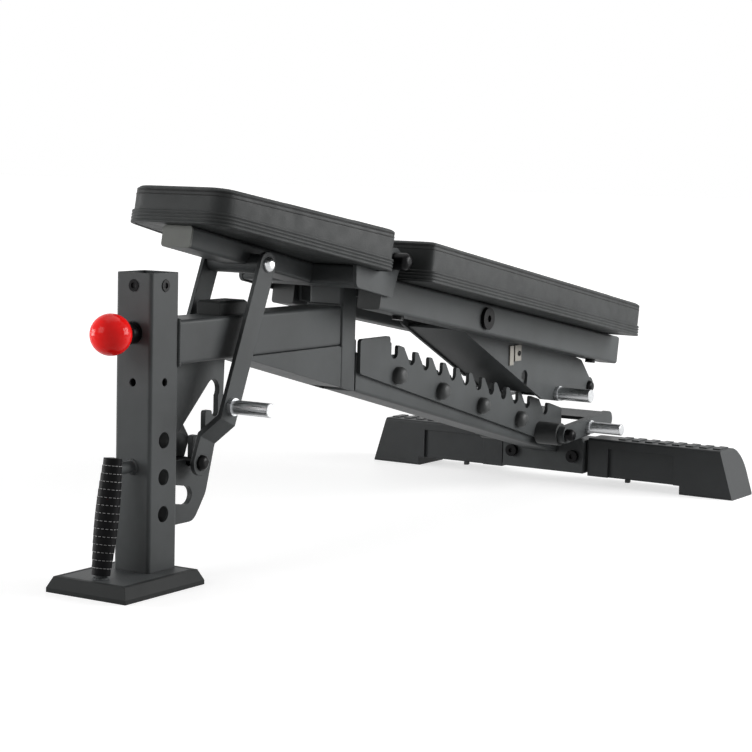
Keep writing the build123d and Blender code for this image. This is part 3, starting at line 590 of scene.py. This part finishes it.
def cord_mesh(name, path, radii, normal=Vector((0, 0, 1)), sides=10):
    """Round cord along a flat loop of points, with a radius for each point."""
    rows = []
    count = len(path)
    for index, point in enumerate(path):
        along = (path[(index + 1) % count] - path[index - 1]).normalized()
        out = along.cross(normal).normalized()
        turns = [2 * math.pi * side / sides for side in range(sides)]
        rows.append(
            [point + (out * math.cos(t) + normal * math.sin(t)) * radii[index] for t in turns]
        )
    return strip_mesh(name, rows)


def wall_points(pad, plan, height):
    """Points on a pad's side wall at a height along it, and the way into the pad, all round it."""
    tree = BVHTree.FromObject(pad, bpy.context.evaluated_depsgraph_get())
    loop = even_loop(plan(0.0), seam_step)
    count = len(loop)
    result = []
    for index, point in enumerate(loop):
        along = (loop[(index + 1) % count] - loop[index - 1]).normalized()
        inward = Vector((-along.y, along.x, 0.0))
        start = Vector((point.x, point.y, height(point.x))) - inward * seam_reach
        result.append((tree.ray_cast(start, inward)[0], inward))
    return result


def sewn_cord(name, pad, plan, height, radius, material, body, place):
    """Cord let into a pad's wall all round it, at a height along the pad."""
    walls = wall_points(pad, plan, height)
    path = [hit + inward * radius * cord_sink for hit, inward in walls]
    mesh = cord_mesh(name, path, [radius] * len(path))
    mesh.transform(place)
    new_piece(name, mesh, material, body)


def sewn_band(name, pad, plan, body, place):
    """Band round the foot of a pad, a little proud of its wall, with sewn grooves."""
    section = [(band_foot, band_proud - band_edge), (band_foot + band_edge, band_proud)]
    for groove in band_grooves:
        section.append((groove - band_groove_half, band_proud))
        section.append((groove, band_proud - band_groove_depth))
        section.append((groove + band_groove_half, band_proud))
    section += [(band_height - band_edge, band_proud), (band_height, band_proud - band_edge)]
    rows = []
    for hit, inward in wall_points(pad, plan, lambda x: band_height):
        row = [
            Vector((hit.x, hit.y, height)) - inward * proud
            for height, proud in section + [(band_height, -band_proud), (band_foot, -band_proud)]
        ]
        rows.append(row)
    mesh = strip_mesh(name, rows)
    mesh.transform(place)
    new_piece(name, mesh, "pad_vinyl", body)


def make_pad(name, plan, top, place, body, nodes):
    """Simulated pad with its sewing, standing for a solid cushion and the board in it."""
    pad = bpy.data.objects.new(name, pad_mesh(name, plan, top))
    bpy.context.scene.collection.objects.link(pad)
    swell(pad)
    for number, (drop, radius, material) in enumerate(top_cords):
        title = f"{name}_cord_{number}"
        sewn_cord(title, pad, plan, lambda x: top(x) - drop, radius, material, body, place)
    sewn_band(f"{name}_band", pad, plan, body, place)
    pad.data.transform(place)
    pad.data.materials.append(materials["pad_vinyl"])
    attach(pad, body)
    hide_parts(*nodes)


def tilted(corner, slope, base):
    turn = Matrix.Rotation(math.radians(slope), 4, "Y")
    return Matrix.Translation(corner) @ turn @ Matrix.Translation((0, 0, base))


def make_pads():
    make_pad(
        "seat_pad",
        seat_plan,
        top_line(0.0, seat_length, seat_thick),
        tilted(seat_corner, seat_slope, 0.0),
        "seat",
        ("seat_cushion", "seat_board"),
    )
    make_pad(
        "back_pad",
        back_plan,
        top_line(back_start, back_length, back_thick),
        tilted(back_corner, back_slope, rail_height),
        "backrest",
        ("back_cushion", "back_board"),
    )


def knurl(along, turn):
    """Depth of the crossed grooves at a place on a peg, from 0 to 1."""
    depth = 0.0
    for way in (-1, 1):
        phase = turn * knurl_turns / 2 + way * math.pi * along / knurl_pitch
        depth = max(depth, 1 - abs(math.sin(phase)) / knurl_width)
    return depth


def peg_rings(inner, outer, peg_r, collar_r):
    """Rings of a peg from root to end: place along the peg, radius, and if it is knurled."""
    root = inner + peg_collar
    rings = [(inner, 0.0, False), (inner, collar_r, False), (root, collar_r, False)]
    rings.append((root, peg_r, False))
    first = root + peg_chamfer
    last = outer - 2 * peg_chamfer
    count = round((last - first) / knurl_step)
    rings += [(first + (last - first) * step / count, peg_r, True) for step in range(count + 1)]
    rings += [(outer - peg_chamfer, peg_r, False), (outer, peg_r - peg_chamfer, False)]
    rings.append((outer, 0.0, False))
    return rings


def turned_mesh(name, centre_x, centre_z, rings, side):
    """Turned piece along Y from its rings, on the side of the object that side gives."""
    vertices = []
    faces = []
    for along, radius, knurled in rings:
        for step in range(peg_segments):
            turn = 2 * math.pi * step / peg_segments
            cut = knurl_depth * knurl(along, turn) if knurled else 0.0
            reach = max(radius - cut, 0.0)
            x = centre_x + reach * math.cos(turn)
            z = centre_z + reach * math.sin(turn)
            vertices.append((x, side * along, z))
    for ring in range(len(rings) - 1):
        low = ring * peg_segments
        for step in range(peg_segments):
            other = (step + 1) % peg_segments
            face = (low + step, low + other, low + peg_segments + other, low + peg_segments + step)
            faces.append(face if side < 0 else face[::-1])
    mesh = mesh_from(name, vertices, faces)
    mesh.set_sharp_from_angle(angle=math.radians(sharp_angle))
    return mesh


def make_pegs(node, body, length, peg_r, collar_r, core_r=0.0):
    """Knurled pegs on both sides in place of a solid node, with a plain rod between if any."""
    low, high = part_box(node)
    centre_x = (low[0] + high[0]) / 2
    centre_z = (low[2] + high[2]) / 2
    outer = high[1]
    inner = outer - length
    rings = peg_rings(inner, outer, peg_r, collar_r)
    for side, word in ((-1, "left"), (1, "right")):
        name = f"{node}_{word}"
        piece = new_piece(name, turned_mesh(name, centre_x, centre_z, rings, side), "chrome", body)
        if side < 0:
            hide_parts(node)
    if core_r:
        name = f"{node}_core"
        core = [(-inner, 0.0, False), (-inner, core_r, False), (inner, core_r, False)]
        core.append((inner, 0.0, False))
        new_piece(name, turned_mesh(name, centre_x, centre_z, core, 1), "chrome", body)


def weld(name, path, normal, body):
    """Rippled bead along a flat closed line."""
    loop = even_loop([Vector(point) for point in path], bead_step)
    waves = [math.sin(2 * math.pi * index * bead_step / bead_pitch) for index in range(len(loop))]
    radii = [bead_r + bead_ripple * wave for wave in waves]
    new_piece(name, cord_mesh(name, loop, radii, Vector(normal)), "frame_paint", body)


def ring(centre, first, second, radius, steps=48):
    """Points of a circle round a centre in the plane of two directions."""
    turns = [2 * math.pi * step / steps for step in range(steps)]
    first = Vector(first) * radius
    second = Vector(second) * radius
    return [Vector(centre) + first * math.cos(t) + second * math.sin(t) for t in turns]


def square(x, half, low, high):
    """Corners of a square tube's outline in a plane across X."""
    return [(x, -half, low), (x, half, low), (x, half, high), (x, -half, high)]


def make_welds():
    """Beads where the top beam meets the post and the tower, and at both ends of the handle."""
    post_low, post_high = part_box("front_post")
    beam_low, beam_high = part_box("top_beam")
    handle_low, handle_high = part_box("carry_handle")
    half = beam_high[1]
    for name, x in (("post_weld", post_high[0]), ("tower_weld", beam_high[0])):
        weld(name, square(x, half, beam_low[2], beam_high[2]), (1, 0, 0), "frame")
    rod_r = handle_high[1]
    foot = (handle_low[0] + rod_r, 0.0, handle_low[2])
    weld("handle_foot_weld", ring(foot, (1, 0, 0), (0, 1, 0), rod_r), (0, 0, 1), "frame")
    arm = (post_low[0], 0.0, handle_arm_z)
    weld("handle_arm_weld", ring(arm, (0, 1, 0), (0, 0, 1), rod_r), (1, 0, 0), "frame")


def make_grip_painted_glints():
    """Short nubs round the grooves of the carrying grip, pale grey as painted highlights for the
    glints there.
    """
    shape = bmesh.new()
    axis = (grip_end_place - grip_start_place).normalized()
    across = Vector((0, 1, 0))
    out = axis.cross(across)
    length = (grip_end_place - grip_start_place).length
    for groove in range(1, grip_rings):
        share = groove / grip_rings
        bulge = math.sin(math.pi * share)
        radius = grip_end_r + (grip_middle_r - grip_end_r) * bulge - grip_nub_sink
        centre = grip_start_place + axis * (length * share - grip_groove / 2)
        for number in range(grip_nubs):
            turn = 2 * math.pi * (number + groove % 2 / 2) / grip_nubs
            ahead = out * math.cos(turn) + across * math.sin(turn)
            side = axis.cross(ahead)
            basis = Matrix((ahead, side, axis)).transposed().to_4x4()
            place = Matrix.Translation(centre + ahead * radius) @ basis
            size = Matrix.Diagonal((grip_nub_height, grip_nub_length, grip_nub_width, 1.0))
            bmesh.ops.create_cube(shape, size=1.0, matrix=place @ size)
    mesh = bpy.data.meshes.new("grip_painted_glints")
    shape.to_mesh(mesh)
    shape.free()
    new_piece("grip_painted_glints", mesh, "grip_painted_glint", "frame")


def block_mesh(name, low, high, edge):
    """Box between two corners with its edges broken."""
    shape = bmesh.new()
    bmesh.ops.create_cube(shape, size=1.0)
    size = Vector(high) - Vector(low)
    middle = (Vector(high) + Vector(low)) / 2
    bmesh.ops.scale(shape, vec=size, verts=shape.verts)
    bmesh.ops.translate(shape, vec=middle, verts=shape.verts)
    bmesh.ops.bevel(
        shape, geom=shape.edges[:], offset=edge, segments=2, profile=0.5, affect="EDGES"
    )
    mesh = bpy.data.meshes.new(name)
    shape.to_mesh(mesh)
    shape.free()
    return mesh


def make_clip():
    """Small plated clip with its screw on the near plate of the prop, under the rail."""
    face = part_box("prop_plate_left")[0][1]
    for number, (start, end, drop, proud) in enumerate(clip_blades):
        low = (start, face - proud, clip_top - drop)
        high = (end, face, clip_top)
        mesh = block_mesh(f"clip_{number}", low, high, clip_edge)
        new_piece(f"clip_{number}", mesh, "zinc", "prop")
    rings = [(-face, 0.0, False), (-face, screw_r, False)]
    rings += [(-face + screw_rim, screw_r, False), (-face + screw_height, 0.0, False)]
    mesh = turned_mesh("clip_screw", clip_screw[0], clip_screw[1], rings, -1)
    new_piece("clip_screw", mesh, "black_steel", "prop")


def make_shoe_tabs():
    """Catch under the belly of each shoe, at its front."""
    for word in ("left", "right"):
        low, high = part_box(f"rear_shoe_{word}")
        side = -1 if word == "left" else 1
        middle = side * tab_y
        bottom = (low[0] + tab_edge, middle - tab_half, tab_z - tab_drop)
        top = (low[0] + tab_depth, middle + tab_half, tab_z)
        mesh = block_mesh(f"shoe_tab_{word}", bottom, top, tab_edge)
        new_piece(f"shoe_tab_{word}", mesh, "shoe_plastic", "frame")


def add_camera():
    lens = bpy.data.cameras.new("camera")
    lens.sensor_width = sensor_width
    lens.lens = focal_pixels / image_side * sensor_width
    camera = bpy.data.objects.new("camera", lens)
    bpy.context.scene.collection.objects.link(camera)
    yaw = math.radians(camera_yaw)
    pitch = math.radians(camera_pitch)
    roll = math.radians(camera_roll)
    level = math.cos(pitch)
    ahead = Vector((math.cos(yaw) * level, math.sin(yaw) * level, math.sin(pitch)))
    right = Vector((math.sin(yaw), -math.cos(yaw), 0.0))
    up = right.cross(ahead)
    turned_right = right * math.cos(roll) + up * math.sin(roll)
    turned_up = up * math.cos(roll) - right * math.sin(roll)
    axes = Matrix((turned_right, turned_up, -ahead)).transposed()
    camera.matrix_world = Matrix.Translation(camera_place) @ axes.to_4x4()
    bpy.context.scene.camera = camera


def add_light(name, place, aim, size, power):
    lamp = bpy.data.lights.new(name, "AREA")
    lamp.shape = "RECTANGLE"
    lamp.size = size[0]
    lamp.size_y = size[1]
    lamp.energy = power
    holder = bpy.data.objects.new(name, lamp)
    holder.location = place
    holder.rotation_euler = (Vector(aim) - Vector(place)).to_track_quat("-Z", "Y").to_euler()
    bpy.context.scene.collection.objects.link(holder)


def seen_directly(tree):
    """1 for rays that the camera, a mirror or glass sends out, and 0 for scattered light."""
    rays = tree.nodes.new("ShaderNodeLightPath")
    pair = tree.nodes.new("ShaderNodeMath")
    pair.operation = "MAXIMUM"
    link_nodes(tree, rays, "Is Camera Ray", pair, 0)
    link_nodes(tree, rays, "Is Glossy Ray", pair, 1)
    every = tree.nodes.new("ShaderNodeMath")
    every.operation = "MAXIMUM"
    link_nodes(tree, pair, "Value", every, 0)
    link_nodes(tree, rays, "Is Transmission Ray", every, 1)
    return every


def add_floor():
    """White floor that keeps the shadows near the object and runs into the white surroundings."""
    reach = floor_reach
    floor_mesh = mesh_from(
        "floor",
        [(-reach, -reach, 0), (reach, -reach, 0), (reach, reach, 0), (-reach, reach, 0)],
        [(0, 1, 2, 3)],
        False,
    )
    floor = bpy.data.objects.new("floor", floor_mesh)
    bpy.context.scene.collection.objects.link(floor)
    made, tree, shader, place = new_material("floor_white")
    distance = tree.nodes.new("ShaderNodeVectorMath")
    distance.operation = "LENGTH"
    link_nodes(tree, place, "Object", distance, 0)
    glow = tree.nodes.new("ShaderNodeMapRange")
    glow.interpolation_type = "SMOOTHSTEP"
    glow.inputs["From Min"].default_value = floor_near
    glow.inputs["From Max"].default_value = floor_far
    glow.inputs["To Min"].default_value = floor_glow
    glow.inputs["To Max"].default_value = 1.0
    link_nodes(tree, distance, "Value", glow, "Value")
    strength = tree.nodes.new("ShaderNodeMath")
    strength.operation = "MULTIPLY"
    link_nodes(tree, glow, "Result", strength, 0)
    link_nodes(tree, seen_directly(tree), "Value", strength, 1)
    link_nodes(tree, strength, "Value", shader, "Emission Strength")
    shader.inputs["Base Color"].default_value = grey(floor_tone)
    shader.inputs["Roughness"].default_value = floor_rough
    shader.inputs["Specular IOR Level"].default_value = floor_shine
    shader.inputs["Emission Color"].default_value = (1.0, 1.0, 1.0, 1.0)
    floor.data.materials.append(made)


def add_world():
    world = bpy.data.worlds.new("white_room")
    world.use_nodes = True
    tree = world.node_tree
    back = tree.nodes["Background"]
    back.inputs["Color"].default_value = (1.0, 1.0, 1.0, 1.0)
    strength = tree.nodes.new("ShaderNodeMapRange")
    strength.inputs["To Min"].default_value = world_fill
    strength.inputs["To Max"].default_value = 1.0
    link_nodes(tree, seen_directly(tree), "Value", strength, "Value")
    link_nodes(tree, strength, "Result", back, "Strength")
    bpy.context.scene.world = world


def add_studio():
    add_floor()
    add_world()
    for lamp in lamps:
        add_light(*lamp)


bpy.context.scene.view_settings.view_transform = "Standard"
paint_frame()
make_pads()
make_pegs("strut_pegs", "seat_strut", peg_length, peg_r, peg_collar_r)
make_pegs("pedal_pegs", "pedal", peg_length, peg_r, peg_collar_r)
make_pegs("prop_handle_rod", "prop", prop_peg_length, prop_peg_r, prop_collar_r, prop_rod_r)
make_welds()
make_grip_painted_glints()
make_clip()
make_shoe_tabs()
add_camera()
add_studio()
